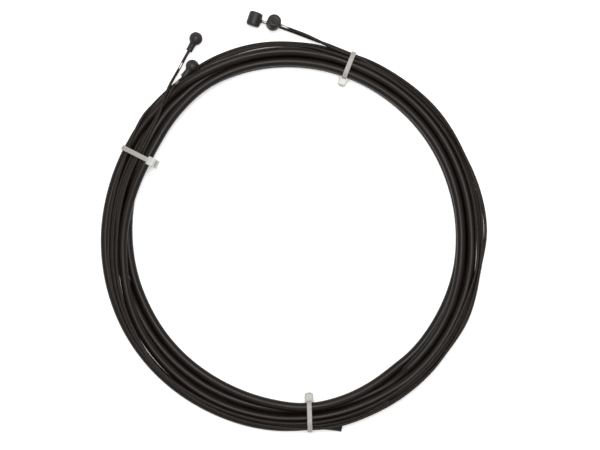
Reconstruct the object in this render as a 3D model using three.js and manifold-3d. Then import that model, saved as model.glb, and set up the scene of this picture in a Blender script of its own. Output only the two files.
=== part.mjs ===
// Bicycle brake cable set, coiled flat and held by three nylon ties.
// One length of outer housing and two inner wires lie in a round coil. Each inner wire has a barrel
// nipple on one end and a pear nipple on the other, so it suits either kind of brake lever.
// Millimetres, +Z up. The coil lies on the undersides of its three ties.

import * as THREE from "three";
import { mergeVertices } from "three/addons/utils/BufferGeometryUtils.js";
import Module from "manifold-3d";

// Outer housing: a jacket over flat-wound steel over a slippery liner
const HOUSING_DIAMETER = 5.0;
const HOUSING_SQUEEZE = 0.2; // how far neighbouring turns press into each other
const JACKET_WALL = 0.45;
const WINDING_WALL = 0.55;
const LINER_WALL = 0.3;
const NEST_GAP = 0.1;

// Inner wires: coated strand
const WIRE_DIAMETER = 1.6;
const WIRE_SQUEEZE = 0.15;
const REAR_TURNS = 3;
const FRONT_TURNS = 2;

// The coil
const COIL_INNER_RADIUS = 89.3;
const FIT_GAP = 0.3;

// Barrel nipple, for flat-bar levers
const BARREL_DIAMETER = 7.2;
const BARREL_LENGTH = 7.3;
const BARREL_EDGE = 1.1;

// Pear nipple, for drop-bar levers
const PEAR_BALL_DIAMETER = 6.6;
const PEAR_CROWN_DIAMETER = 2.6;
const PEAR_STEM_DIAMETER = 3.2;
const PEAR_STEM_REACH = 7.8; // from the ball's centre to the stem's end
const PEAR_SHOULDER = 1.2;
const NIPPLE_BORE_DEPTH = 2.0;

// Cable tie: one nylon moulding with a toothed strap and a ratchet head
const STRAP_THICKNESS = 1.1;
const STRAP_WIDTH = 2.6;
const TOOTH_PITCH = 1.2;
const TOOTH_DEPTH = 0.3;
const HEAD_WIDTH = 4.6;
const HEAD_DEPTH = 4.8;
const HEAD_LENGTH = 5.2;
const HEAD_CORNER = 0.8;
const HEAD_WALL = 0.8;
const SLOT_CLEARANCE = 0.15;
const CUT_OVERRUN = 1.0; // how far the slot's cutter runs past the head
const TAIL_BEND_RADIUS = 0.5;
const TAIL_STUB = 0.4;
const PAWL_LENGTH = 1.9;
const PAWL_ROOM = 1.2;
const PAWL_THICKNESS = 0.6;

// Where things stand round the coil, in degrees anticlockwise from +X
const TIE_ANGLES = { upper: 72.5, side: 153.3, lower: 274.7 };

// Routes of the free ends: degrees round the coil from the tie that holds that end, then millimetres
// outwards and upwards from the seat where it leaves its coil
const HOUSING_END_ROUTE = [
  [-22.7, 0, 0],
  [-14.7, 0, 0],
  [-6.7, 0, 0],
  [0, 0, 0],
  [4.3, 0.8, 0],
  [8.6, 3.0, 0],
];
const FRONT_BARREL_ROUTE = [
  [2, 0, 0],
  [6, 0.3, 0],
  [10.3, 1.4, 0.1],
  [15.4, 4.4, 0.3],
  [19.3, 7.2, 0.4],
  [22.8, 10.1, 0.4],
  [25.7, 12.7, 0.8],
  [27.2, 14.1, 1.0],
];
const REAR_BARREL_ROUTE = [
  [2, 0, 0],
  [4.9, 1.9, 0.1],
  [8.1, 3.8, 0.5],
  [11.1, 5.8, 1.0],
  [15.1, 8.5, 1.8],
  [19, 11.0, 2.4],
  [22.3, 14.0, 2.9],
];
const FRONT_PEAR_ROUTE = [
  [-2.3, 0, 0],
  [-9.3, 0, 0],
  [-16.3, 0, 0.15],
  [-22.8, 0.3, 0.65],
  [-25.2, 1.8, 1.1],
  [-30.6, 7.5, 2.0],
  [-34.2, 11.6, 2.6],
];
const REAR_PEAR_ROUTE = [
  [-2.3, 0, 0],
  [-9.3, 0, 0.1],
  [-16.3, 0, 0.3],
  [-22.2, 0.65, 0.7],
  [-25.4, 2.3, 1.0],
  [-29.1, 4.5, 1.4],
];

// Roll of each barrel nipple about its wire, in degrees from lying flat
const FRONT_BARREL_ROLL = 0;
const REAR_BARREL_ROLL = 106;

// Fineness
const LATHE_STEPS = 64;
const LOBE_STEPS = 6;
const HOUSING_SIDES = 12;
const WIRE_SIDES = 8;
const NIPPLE_STEPS = 20;
const STRAP_TURN_STEP = 10; // degrees of turn from one strap station to the next
const TUBE_STEP_IN_DIAMETERS = 2.5;

const housingRadius = HOUSING_DIAMETER / 2;
const housingPitch = HOUSING_DIAMETER - HOUSING_SQUEEZE;
const wireRadius = WIRE_DIAMETER / 2;
const wirePitch = WIRE_DIAMETER - WIRE_SQUEEZE;
const nippleBoreRadius = wireRadius + FIT_GAP;

const jacket = { color: 0x23211f, roughness: 0.42, metalness: 0.0 };
const coating = { color: 0x2b2927, roughness: 0.55, metalness: 0.0 };
const finishes = {
  jacket,
  winding: { color: 0x9b9c9e, roughness: 0.35, metalness: 1.0 },
  liner: { color: 0xd9d8d2, roughness: 0.5, metalness: 0.0 },
  wire: coating,
  nipple: { color: 0x3a3836, roughness: 0.5, metalness: 0.7 },
  tie: { color: 0xe4e5e0, roughness: 0.45, metalness: 0.0 },
};

const wasm = await Module();
wasm.setup();

const coil = new THREE.Group();

function radians(degrees) {
  return THREE.MathUtils.degToRad(degrees);
}

function addPiece(name, geometry, finish, parent = coil) {
  const mesh = new THREE.Mesh(geometry, new THREE.MeshStandardMaterial(finish));
  mesh.name = name;
  parent.add(mesh);
  return mesh;
}

// Joining and cutting

function toSolid(geometry) {
  const bare = geometry.clone();
  bare.deleteAttribute("normal");
  bare.deleteAttribute("uv");
  const merged = mergeVertices(bare, 1e-4);
  return new wasm.Manifold(
    new wasm.Mesh({
      numProp: 3,
      vertProperties: merged.attributes.position.array,
      triVerts: new Uint32Array(merged.index.array),
    })
  );
}

function toGeometry(solid) {
  const mesh = solid.getMesh();
  const geometry = new THREE.BufferGeometry();
  geometry.setAttribute("position", new THREE.BufferAttribute(new Float32Array(mesh.vertProperties), 3));
  geometry.setIndex(new THREE.BufferAttribute(new Uint32Array(mesh.triVerts), 1));
  geometry.computeVertexNormals();
  return geometry;
}

// Where each turn lies in the coil's section: x is the distance from the coil's centre, y the height

const coilFloor = STRAP_THICKNESS + FIT_GAP;

const housingInnerColumn = COIL_INNER_RADIUS + housingRadius;
const housingOuterColumn = housingInnerColumn + housingPitch;
const housingLowerRow = coilFloor + housingRadius;
const housingUpperRow = housingLowerRow + housingPitch;
const housingOuterRadius = housingOuterColumn + housingRadius;
const housingTurns = [
  new THREE.Vector2(housingInnerColumn, housingLowerRow),
  new THREE.Vector2(housingOuterColumn, housingLowerRow),
  new THREE.Vector2(housingOuterColumn, housingUpperRow),
  new THREE.Vector2(housingInnerColumn, housingUpperRow),
];

function wireColumn(radius, floor, turns) {
  return Array.from({ length: turns }, (_, turn) => new THREE.Vector2(radius, floor + wireRadius + turn * wirePitch));
}

const rearColumnRadius = housingOuterRadius + FIT_GAP + wireRadius;
const frontColumnRadius = rearColumnRadius + 2 * wireRadius + FIT_GAP;
const rearWireTurns = wireColumn(rearColumnRadius, coilFloor, REAR_TURNS);
const frontColumnFloor = coilFloor + ((REAR_TURNS - FRONT_TURNS) * wirePitch) / 2;
const frontWireTurns = wireColumn(frontColumnRadius, frontColumnFloor, FRONT_TURNS);

// Going round a single column passes every turn but the end ones twice
function roundColumn(turns) {
  return [...turns, ...turns.slice(1, -1).reverse()];
}

// Outer shape of touching turns: an arc on each, from where it leaves the last to where it meets the next
function bundleOutline(centres, radius) {
  const outline = [];
  centres.forEach((centre, index) => {
    const previous = centres[(index + centres.length - 1) % centres.length];
    const next = centres[(index + 1) % centres.length];
    const toPrevious = previous.clone().sub(centre);
    const toNext = next.clone().sub(centre);
    const start = toPrevious.angle() + Math.acos(toPrevious.length() / 2 / radius);
    let end = toNext.angle() - Math.acos(toNext.length() / 2 / radius);
    while (end <= start) {
      end += 2 * Math.PI;
    }
    for (let step = 0; step < LOBE_STEPS; step += 1) {
      const angle = start + ((end - start) * step) / LOBE_STEPS;
      outline.push(new THREE.Vector2(Math.cos(angle), Math.sin(angle)).multiplyScalar(radius).add(centre));
    }
  });
  outline.push(outline[0].clone());
  return outline;
}

function ring(outline) {
  return new THREE.LatheGeometry(outline, LATHE_STEPS).rotateX(Math.PI / 2);
}

// Free ends

function polarPoint(degrees, radius, height) {
  return new THREE.Vector3(radius * Math.cos(radians(degrees)), radius * Math.sin(radians(degrees)), height);
}

function routePoints(route, seat, tieAngle) {
  return route.map(([degrees, outwards, upwards]) =>
    polarPoint(tieAngle + degrees, seat.x + outwards, seat.y + upwards)
  );
}

function sectionPoints(radius, sides) {
  return Array.from({ length: sides }, (_, side) => {
    const angle = (2 * Math.PI * side) / sides;
    return new THREE.Vector2(radius * Math.cos(angle), radius * Math.sin(angle));
  });
}

function tubeAlong(points, outerRadius, boreRadius, sides, stepLength) {
  const curve = new THREE.CatmullRomCurve3(points, false, "centripetal");
  const shape = new THREE.Shape(sectionPoints(outerRadius, sides));
  if (boreRadius > 0) {
    shape.holes.push(new THREE.Path(sectionPoints(boreRadius, sides)));
  }
  const steps = Math.ceil(curve.getLength() / stepLength);
  return new THREE.ExtrudeGeometry(shape, { steps, bevelEnabled: false, extrudePath: curve });
}

// Nipples, each modelled with its wire coming in along -X and its bore's floor at the origin

function barrelNipple() {
  const half = BARREL_LENGTH / 2;
  const radius = BARREL_DIAMETER / 2;
  const outline = [new THREE.Vector2(0, -half)];
  const edge = (centreHeight, from) => {
    for (let step = 0; step <= 3; step += 1) {
      const angle = from + (Math.PI / 6) * step;
      outline.push(
        new THREE.Vector2(
          radius - BARREL_EDGE + BARREL_EDGE * Math.cos(angle),
          centreHeight + BARREL_EDGE * Math.sin(angle)
        )
      );
    }
  };
  edge(-half + BARREL_EDGE, -Math.PI / 2);
  edge(half - BARREL_EDGE, 0);
  outline.push(new THREE.Vector2(0, half));
  const barrel = new THREE.LatheGeometry(outline, NIPPLE_STEPS);
  barrel.translate(radius - NIPPLE_BORE_DEPTH, 0, 0);
  const bore = new THREE.CylinderGeometry(nippleBoreRadius, nippleBoreRadius, radius, WIRE_SIDES);
  bore.rotateZ(Math.PI / 2).translate(-radius / 2, 0, 0);
  return toGeometry(toSolid(barrel).subtract(toSolid(bore)));
}

function pearNipple() {
  const ball = PEAR_BALL_DIAMETER / 2;
  const stem = PEAR_STEM_DIAMETER / 2;
  const stemEnd = -PEAR_STEM_REACH;
  const neckAngle = Math.asin((stem + PEAR_SHOULDER / 3) / ball);
  const crownAngle = Math.PI - Math.asin(PEAR_CROWN_DIAMETER / 2 / ball);
  const outline = [
    new THREE.Vector2(0, stemEnd + NIPPLE_BORE_DEPTH),
    new THREE.Vector2(nippleBoreRadius, stemEnd + NIPPLE_BORE_DEPTH),
    new THREE.Vector2(nippleBoreRadius, stemEnd),
    new THREE.Vector2(stem, stemEnd),
    new THREE.Vector2(stem, -ball * Math.cos(neckAngle) - PEAR_SHOULDER),
  ];
  const ballSteps = 9;
  for (let step = 0; step <= ballSteps; step += 1) {
    const angle = neckAngle + ((crownAngle - neckAngle) * step) / ballSteps;
    outline.push(new THREE.Vector2(ball * Math.sin(angle), -ball * Math.cos(angle)));
  }
  outline.push(new THREE.Vector2(0, -ball * Math.cos(crownAngle)));
  const nipple = new THREE.LatheGeometry(outline, NIPPLE_STEPS);
  return nipple.translate(0, -stemEnd - NIPPLE_BORE_DEPTH, 0).rotateZ(-Math.PI / 2);
}

// Seats a nipple on the end of its wire, turned by roll about the wire
function placeNipple(name, geometry, route, roll) {
  const end = route[route.length - 1];
  const along = end.clone().sub(route[route.length - 2]).normalize();
  const side = new THREE.Vector3(0, 0, 1).cross(along).normalize();
  const up = along.clone().cross(side);
  const mesh = addPiece(name, geometry, finishes.nipple);
  mesh.quaternion.setFromRotationMatrix(new THREE.Matrix4().makeBasis(along, side, up));
  mesh.quaternion.multiply(new THREE.Quaternion().setFromAxisAngle(new THREE.Vector3(1, 0, 0), radians(roll)));
  mesh.position.copy(end).addScaledVector(along, FIT_GAP);
}

// Cable tie, in the coil's section: stations along the strap's inner face with the way out from the bundle

function supportingStrands(strands, direction) {
  const reach = strands.map((strand) => strand.centre.dot(direction) + strand.radius);
  const furthest = Math.max(...reach);
  const travel = new THREE.Vector2(direction.y, -direction.x);
  return strands
    .filter((_, index) => furthest - reach[index] < 1e-6)
    .sort((a, b) => a.centre.dot(travel) - b.centre.dot(travel));
}

// The strap lies taut over whichever strands stand out furthest, from the head's top clockwise to its foot
function strapRound(strands) {
  const stations = [];
  for (let degrees = 180; degrees >= -180; degrees -= STRAP_TURN_STEP) {
    const out = new THREE.Vector2(Math.cos(radians(degrees)), Math.sin(radians(degrees)));
    let supports = supportingStrands(strands, out);
    if (degrees === 180) {
      supports = supports.slice(-1);
    } else if (degrees <= -180) {
      supports = supports.slice(0, 1);
    }
    supports.forEach((strand) => {
      const face = strand.centre.clone().addScaledVector(out, strand.radius + FIT_GAP);
      stations.push({ face, out });
    });
  }
  return stations;
}

// The tail turns away from the bundle and runs through the head's slot
function tailStations(faceX, slotHeight, exitX) {
  const centre = new THREE.Vector2(
    faceX - STRAP_THICKNESS - TAIL_BEND_RADIUS,
    slotHeight - STRAP_THICKNESS / 2 - TAIL_BEND_RADIUS
  );
  const stations = [];
  for (let degrees = 0; degrees <= 90; degrees += 3 * STRAP_TURN_STEP) {
    const inward = new THREE.Vector2(Math.cos(radians(degrees)), Math.sin(radians(degrees)));
    const face = centre.clone().addScaledVector(inward, TAIL_BEND_RADIUS + STRAP_THICKNESS);
    stations.push({ face, out: inward.negate() });
  }
  stations.push({
    face: new THREE.Vector2(exitX, slotHeight + STRAP_THICKNESS / 2),
    out: new THREE.Vector2(0, -1),
  });
  return stations;
}

function stationAt(stations, distance) {
  let left = distance;
  for (let index = 1; index < stations.length; index += 1) {
    const from = stations[index - 1];
    const to = stations[index];
    const length = from.face.distanceTo(to.face);
    if (left <= length && length > 0) {
      const share = left / length;
      return {
        face: from.face.clone().lerp(to.face, share),
        out: from.out.clone().lerp(to.out, share).normalize(),
      };
    }
    left -= length;
  }
  return stations[stations.length - 1];
}

function offsetPoint(station, distance) {
  return station.face.clone().addScaledVector(station.out, distance);
}

function bandShape(stations, nearOffset, farOffset) {
  const near = stations.map((station) => offsetPoint(station, nearOffset));
  const far = stations.map((station) => offsetPoint(station, farOffset));
  return new THREE.Shape([...far, ...near.reverse()]);
}

// Ratchet teeth: each drops straight to its root and ramps up to the next tip
function toothedShape(stations) {
  const lengths = stations.slice(1).map((station, index) => station.face.distanceTo(stations[index].face));
  const length = lengths.reduce((sum, part) => sum + part, 0);
  const teeth = Math.floor(length / TOOTH_PITCH);
  const near = [offsetPoint(stations[0], 0)];
  for (let tooth = 1; tooth < teeth; tooth += 1) {
    const station = stationAt(stations, tooth * TOOTH_PITCH);
    near.push(offsetPoint(station, TOOTH_DEPTH), offsetPoint(station, 0));
  }
  near.push(offsetPoint(stations[stations.length - 1], 0));
  const far = stations.map((station) => offsetPoint(station, STRAP_THICKNESS));
  return new THREE.Shape([...far, ...near.reverse()]);
}

function slab(shape, width) {
  return toSolid(
    new THREE.ExtrudeGeometry(shape, { depth: width, bevelEnabled: false, curveSegments: 4 }).translate(0, 0, -width / 2)
  );
}

function roundedHead(left, bottom, right, top) {
  const shape = new THREE.Shape();
  shape.moveTo(right, bottom);
  shape.lineTo(right, top);
  shape.lineTo(left + HEAD_CORNER, top);
  shape.absarc(left + HEAD_CORNER, top - HEAD_CORNER, HEAD_CORNER, Math.PI / 2, Math.PI, false);
  shape.lineTo(left, bottom + HEAD_CORNER);
  shape.absarc(left + HEAD_CORNER, bottom + HEAD_CORNER, HEAD_CORNER, Math.PI, 1.5 * Math.PI, false);
  shape.closePath();
  return shape;
}

function rectangle(left, bottom, right, top) {
  return new THREE.Shape([
    new THREE.Vector2(left, bottom),
    new THREE.Vector2(right, bottom),
    new THREE.Vector2(right, top),
    new THREE.Vector2(left, top),
  ]);
}

function cableTie(strands) {
  const faceX = COIL_INNER_RADIUS - FIT_GAP;
  const headLeft = faceX - HEAD_DEPTH;
  const slotHeight = (housingLowerRow + housingUpperRow) / 2;
  const slotTop = slotHeight + STRAP_THICKNESS / 2;
  const headTop = slotTop + SLOT_CLEARANCE + PAWL_ROOM + HEAD_WALL;
  const headBottom = headTop - HEAD_LENGTH;

  const root = { face: new THREE.Vector2(faceX, slotTop + PAWL_ROOM), out: new THREE.Vector2(-1, 0) };
  const tail = tailStations(faceX, slotHeight, headLeft - TAIL_STUB);
  const strap = slab(toothedShape([root, ...strapRound(strands), ...tail]), STRAP_WIDTH);

  const foot = { face: new THREE.Vector2(faceX, headBottom - CUT_OVERRUN), out: new THREE.Vector2(-1, 0) };
  const channelPath = [foot, ...tailStations(faceX, slotHeight, headLeft - CUT_OVERRUN)];
  const slotWidth = STRAP_WIDTH + 2 * SLOT_CLEARANCE;
  const channel = slab(bandShape(channelPath, -SLOT_CLEARANCE, STRAP_THICKNESS + SLOT_CLEARANCE), slotWidth);

  const cavityLeft = headLeft + HEAD_WALL;
  const cavityRight = cavityLeft + PAWL_LENGTH;
  const cavityTop = slotTop + PAWL_ROOM;
  const cavity = slab(rectangle(cavityLeft, slotHeight, cavityRight, cavityTop), slotWidth);
  const pawl = slab(
    new THREE.Shape([
      new THREE.Vector2(cavityRight + SLOT_CLEARANCE, cavityTop),
      new THREE.Vector2(cavityLeft + PAWL_THICKNESS / 2, slotTop + PAWL_THICKNESS),
      new THREE.Vector2(cavityLeft + PAWL_THICKNESS, slotTop + SLOT_CLEARANCE),
      new THREE.Vector2(cavityRight + SLOT_CLEARANCE, cavityTop - PAWL_THICKNESS),
    ]),
    STRAP_WIDTH
  );
  const head = slab(roundedHead(headLeft, headBottom, faceX, headTop), HEAD_WIDTH);
  return toGeometry(head.subtract(channel).subtract(cavity).add(strap).add(pawl));
}

// Stands a piece that was drawn in the coil's section at its angle round the coil
function placeInSection(mesh, degrees) {
  const out = polarPoint(degrees, 1, 0);
  const up = new THREE.Vector3(0, 0, 1);
  mesh.quaternion.setFromRotationMatrix(new THREE.Matrix4().makeBasis(out, up, out.clone().cross(up)));
}

// The coils
addPiece("housing_coil", ring(bundleOutline(housingTurns, housingRadius)), finishes.jacket);
addPiece("rear_wire_coil", ring(bundleOutline(roundColumn(rearWireTurns), wireRadius)), finishes.wire);
addPiece("front_wire_coil", ring(bundleOutline(roundColumn(frontWireTurns), wireRadius)), finishes.wire);

// The housing's cut end, which lies outside the upper row above the wires
const housingEndSeat = new THREE.Vector2(housingOuterRadius + FIT_GAP + housingRadius, housingUpperRow);
const housingEndPoints = routePoints(HOUSING_END_ROUTE, housingEndSeat, TIE_ANGLES.lower);
const layers = [
  ["housing_end_jacket", JACKET_WALL, finishes.jacket],
  ["housing_end_winding", WINDING_WALL, finishes.winding],
  ["housing_end_liner", LINER_WALL, finishes.liner],
];
const housingStep = TUBE_STEP_IN_DIAMETERS * HOUSING_DIAMETER;
let layerRadius = housingRadius;
layers.forEach(([name, wall, finish]) => {
  const boreRadius = layerRadius - wall;
  addPiece(name, tubeAlong(housingEndPoints, layerRadius, boreRadius, HOUSING_SIDES, housingStep), finish);
  layerRadius -= wall + NEST_GAP;
});

// The wires' free ends and their nipples
const frontSeat = new THREE.Vector2(
  frontColumnRadius + 2 * wireRadius + FIT_GAP,
  (frontWireTurns[0].y + frontWireTurns[FRONT_TURNS - 1].y) / 2
);
const rearSeat = new THREE.Vector2(rearColumnRadius, rearWireTurns[REAR_TURNS - 1].y + 2 * wireRadius + FIT_GAP);
const wireEnds = [
  ["front_wire_barrel", FRONT_BARREL_ROUTE, frontSeat, TIE_ANGLES.upper, barrelNipple, FRONT_BARREL_ROLL],
  ["rear_wire_barrel", REAR_BARREL_ROUTE, rearSeat, TIE_ANGLES.upper, barrelNipple, REAR_BARREL_ROLL],
  ["front_wire_pear", FRONT_PEAR_ROUTE, frontSeat, TIE_ANGLES.side, pearNipple, 0],
  ["rear_wire_pear", REAR_PEAR_ROUTE, rearSeat, TIE_ANGLES.side, pearNipple, 0],
];
const wireStep = TUBE_STEP_IN_DIAMETERS * WIRE_DIAMETER;
wireEnds.forEach(([name, route, seat, tieAngle, nipple, roll]) => {
  const points = routePoints(route, seat, tieAngle);
  addPiece(`${name}_end`, tubeAlong(points, wireRadius, 0, WIRE_SIDES, wireStep), finishes.wire);
  placeNipple(`${name}_nipple`, nipple(), points, roll);
});

// The ties
const coilStrands = [
  ...housingTurns.map((centre) => ({ centre, radius: housingRadius })),
  ...[...rearWireTurns, ...frontWireTurns].map((centre) => ({ centre, radius: wireRadius })),
];
const housingEndStrand = { centre: housingEndSeat, radius: housingRadius };
Object.entries(TIE_ANGLES).forEach(([place, degrees]) => {
  const strands = place === "lower" ? [...coilStrands, housingEndStrand] : coilStrands;
  placeInSection(addPiece(`${place}_tie`, cableTie(strands), finishes.tie), degrees);
});

// The whole stands over the centre of its box
coil.updateMatrixWorld(true);
const box = new THREE.Box3().setFromObject(coil);
coil.position.set(-(box.min.x + box.max.x) / 2, -(box.min.y + box.max.y) / 2, -box.min.z);

export default coil;
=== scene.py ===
"""Dresses the bicycle brake cable: housing and two wires in one tied coil, with their nipples and cut ends.

The coil lies flat. A strand is followed by the angle gone round the coil's centre, in degrees, by its
distance from that centre and by its height over the surface. Lengths here are in millimetres until a mesh
is made, and a mesh is in metres in the part's own frame.
"""

import logging
import math
from collections.abc import Callable, Sequence
from dataclasses import dataclass
from enum import Enum
from typing import Any

import bpy
import numpy as np
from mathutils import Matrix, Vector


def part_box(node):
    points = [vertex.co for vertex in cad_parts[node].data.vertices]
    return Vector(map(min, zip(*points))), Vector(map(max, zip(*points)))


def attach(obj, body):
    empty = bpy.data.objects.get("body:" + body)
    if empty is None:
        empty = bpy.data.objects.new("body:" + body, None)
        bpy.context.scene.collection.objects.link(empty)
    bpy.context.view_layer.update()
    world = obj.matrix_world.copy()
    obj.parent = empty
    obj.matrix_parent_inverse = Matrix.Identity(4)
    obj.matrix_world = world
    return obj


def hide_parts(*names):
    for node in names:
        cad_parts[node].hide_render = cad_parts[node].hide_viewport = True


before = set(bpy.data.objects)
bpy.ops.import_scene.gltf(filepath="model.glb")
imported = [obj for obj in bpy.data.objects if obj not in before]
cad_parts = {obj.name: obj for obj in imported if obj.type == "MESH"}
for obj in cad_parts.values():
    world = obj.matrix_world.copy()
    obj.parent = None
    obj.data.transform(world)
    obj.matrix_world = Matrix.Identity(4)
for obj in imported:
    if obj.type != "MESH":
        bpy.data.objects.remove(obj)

MM = 0.001
FULL_TURN = 360
UP = np.array([0.0, 0.0, 1.0])
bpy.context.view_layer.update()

Faces = list[tuple[int, ...]]
Shape = tuple[np.ndarray, Faces]
Colour = tuple[float, float, float, float]
Knots = Sequence[tuple[float, float]]
Route = Sequence[tuple[float, float, float]]

BLACK: Colour = (0.0, 0.0, 0.0, 1.0)
WHITE: Colour = (1.0, 1.0, 1.0, 1.0)

log = logging.getLogger("brake_cable")


class Slot(str, Enum):
    """The record's material slots."""

    JACKET = "jacket"
    COATING = "wire_coating"
    WOUND_STEEL = "wound_steel"
    LINER = "liner"
    NIPPLE = "nipple_metal"
    NYLON = "nylon"


class End(str, Enum):
    """The two shapes of nipple."""

    BARREL = "barrel"
    PEAR = "pear"


# Geometry helpers


def unit(vectors: np.ndarray) -> np.ndarray:
    """Scales each vector of an array to length one."""
    return vectors / np.linalg.norm(vectors, axis=-1, keepdims=True)


def mesh_object(name: str, points: np.ndarray, faces: Faces, smooth: bool = True) -> bpy.types.Object:
    """Makes a mesh object at the origin.

    Args:
        name: The piece's name.
        points: Its vertices in millimetres, one row each.
        faces: Its faces, as vertex numbers that run anticlockwise seen from outside.
        smooth: Whether its faces are shaded smooth.

    Returns:
        The linked object, with its place in its mesh.
    """
    mesh = bpy.data.meshes.new(name)
    mesh.from_pydata((points * MM).tolist(), [], faces)
    mesh.polygons.foreach_set("use_smooth", np.full(len(faces), smooth))
    mesh.validate()
    mesh.update()
    obj = bpy.data.objects.new(name, mesh)
    bpy.context.scene.collection.objects.link(obj)
    return obj


def mark_points(obj: bpy.types.Object, name: str, values: np.ndarray) -> None:
    """Gives each vertex of a mesh its own value, for its material to read by name."""
    attribute = obj.data.attributes.new(name, "FLOAT", "POINT")
    attribute.data.foreach_set("value", values.astype(np.float32))


def joined(*shapes: Shape) -> Shape:
    """Makes one shape of several, each one's vertex numbers moved on past those before it.

    Args:
        shapes: The points and faces of each.

    Returns:
        The points and faces of all.
    """
    faces = []
    count = 0
    for points, own_faces in shapes:
        faces += [tuple(number + count for number in face) for face in own_faces]
        count += len(points)
    return np.concatenate([points for points, _ in shapes]), faces


def grid_faces(rows: int, columns: int, closed_rows: bool, caps: bool) -> Faces:
    """Faces of a grid of points whose columns close into rings.

    Args:
        rows: How many rings there are.
        columns: How many points each ring has.
        closed_rows: Whether the last ring joins the first.
        caps: Whether the first and last rings are closed by one face each.

    Returns:
        Vertex numbers of each face: point (i, j) is number i * columns + j.
    """
    last = rows if closed_rows else rows - 1
    i, j = np.meshgrid(np.arange(last), np.arange(columns), indexing="ij")
    row, next_row, next_j = i * columns, (i + 1) % rows * columns, (j + 1) % columns
    corners = np.stack([row + j, row + next_j, next_row + next_j, next_row + j], axis=-1)
    faces = [tuple(face) for face in corners.reshape(-1, 4).tolist()]
    if caps:
        faces.append(tuple(range(columns - 1, -1, -1)))
        faces.append(tuple(range((rows - 1) * columns, rows * columns)))
    return faces


@dataclass
class Path:
    """A line through space with its distances along it and a level frame at each of its points."""

    points: np.ndarray

    def __post_init__(self) -> None:
        """Works out the distances along the line."""
        steps = np.linalg.norm(np.diff(self.points, axis=0), axis=1)
        self.distances = np.concatenate([[0.0], np.cumsum(steps)])
        self.length = float(self.distances[-1])

    def at(self, distances: np.ndarray) -> np.ndarray:
        """Points of the line at the given distances from its start."""
        return np.stack([np.interp(distances, self.distances, axis) for axis in self.points.T], axis=-1)

    def along(self, distances: np.ndarray, reach: float = 0.5) -> np.ndarray:
        """Directions of the line, each from the point reach before to the point reach beyond.

        Args:
            distances: How far along the line.
            reach: How far to either side the line is looked at.

        Returns:
            Unit vectors.
        """
        ahead = self.at(np.clip(distances + reach, 0, self.length))
        behind = self.at(np.clip(distances - reach, 0, self.length))
        return unit(ahead - behind)

    def frames(self, distances: np.ndarray) -> tuple[np.ndarray, np.ndarray, np.ndarray]:
        """The line's own axes: along, level across it (up cross along) and upwards (along cross that).

        Args:
            distances: How far along the line.

        Returns:
            Unit vectors along, sideways and upwards.
        """
        along = self.along(distances)
        side = unit(np.cross(UP, along))
        return along, side, np.cross(along, side)

    def resampled(self, step: float) -> "Path":
        """The same line with points about one step apart."""
        count = max(2, round(self.length / step) + 1)
        return Path(self.at(np.linspace(0, self.length, count)))


def carried(path: Path, distances: np.ndarray, radii: np.ndarray, angles: np.ndarray) -> np.ndarray:
    """Carries a round section along a path.

    A point is the path's point plus radius times (cosine of its angle sideways, sine of it upwards).

    Args:
        path: The line that the section follows.
        distances: How far along the path each ring lies.
        radii: Each ring's radius, or one for each of its points.
        angles: The angle of each point round its ring, for all rings or one row for each.

    Returns:
        The points, ring after ring.
    """
    _, side, up = path.frames(distances)
    radii = radii[:, None] if radii.ndim == 1 else radii
    angles = np.broadcast_to(angles, (len(distances), angles.shape[-1]))
    turned = np.cos(angles)[..., None] * side[:, None] + np.sin(angles)[..., None] * up[:, None]
    return (path.at(distances)[:, None] + radii[..., None] * turned).reshape(-1, 3)


def ring_angles(count: int) -> np.ndarray:
    """Equal steps round a ring."""
    return np.linspace(0, 2 * math.pi, count, endpoint=False)


def lathe(profile: np.ndarray, sides: int) -> Shape:
    """Turns a profile round the X axis.

    A point is (x, r times the cosine of its angle, r times the sine).

    Args:
        profile: Rows of x and r, from the end with the higher x to the other.
        sides: How many steps go round.

    Returns:
        The points and the faces, with a face closing each end.
    """
    angles = ring_angles(sides)
    x = np.repeat(profile[:, 0], sides)
    y = np.outer(profile[:, 1], np.cos(angles)).ravel()
    z = np.outer(profile[:, 1], np.sin(angles)).ravel()
    faces = grid_faces(len(profile), sides, False, True)
    return np.stack([x, y, z], axis=-1), [face[::-1] for face in faces]


def arc(centre: tuple[float, float], radius: float, start: float, end: float, steps: int = 6) -> np.ndarray:
    """Points of an arc from one angle to another in degrees: the centre plus radius times (cosine, sine)."""
    angles = np.radians(np.linspace(start, end, steps + 1))
    return np.stack([centre[0] + radius * np.cos(angles), centre[1] + radius * np.sin(angles)], axis=-1)


def polar(degrees: np.ndarray, radius: np.ndarray, height: np.ndarray) -> np.ndarray:
    """Points about the Z axis: radius times the cosine and the sine of the angle, and the height."""
    turn = np.radians(degrees)
    return np.stack([radius * np.cos(turn), radius * np.sin(turn), height], axis=-1)


def smoothed(values: np.ndarray, spread: float) -> np.ndarray:
    """Averages each value with its neighbours.

    A neighbour weighs e to the power of minus half its distance squared, in spreads, up to three of them.

    Args:
        values: The samples, in order.
        spread: The bell's spread in samples.

    Returns:
        As many samples, with the ends kept where they are.
    """
    reach = max(1, round(3 * spread))
    bell = np.exp(-0.5 * (np.arange(-reach, reach + 1) / spread) ** 2)
    padded = np.pad(values, reach, mode="reflect", reflect_type="odd")
    return np.convolve(padded, bell / bell.sum(), mode="valid")


# Shader helpers


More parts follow.
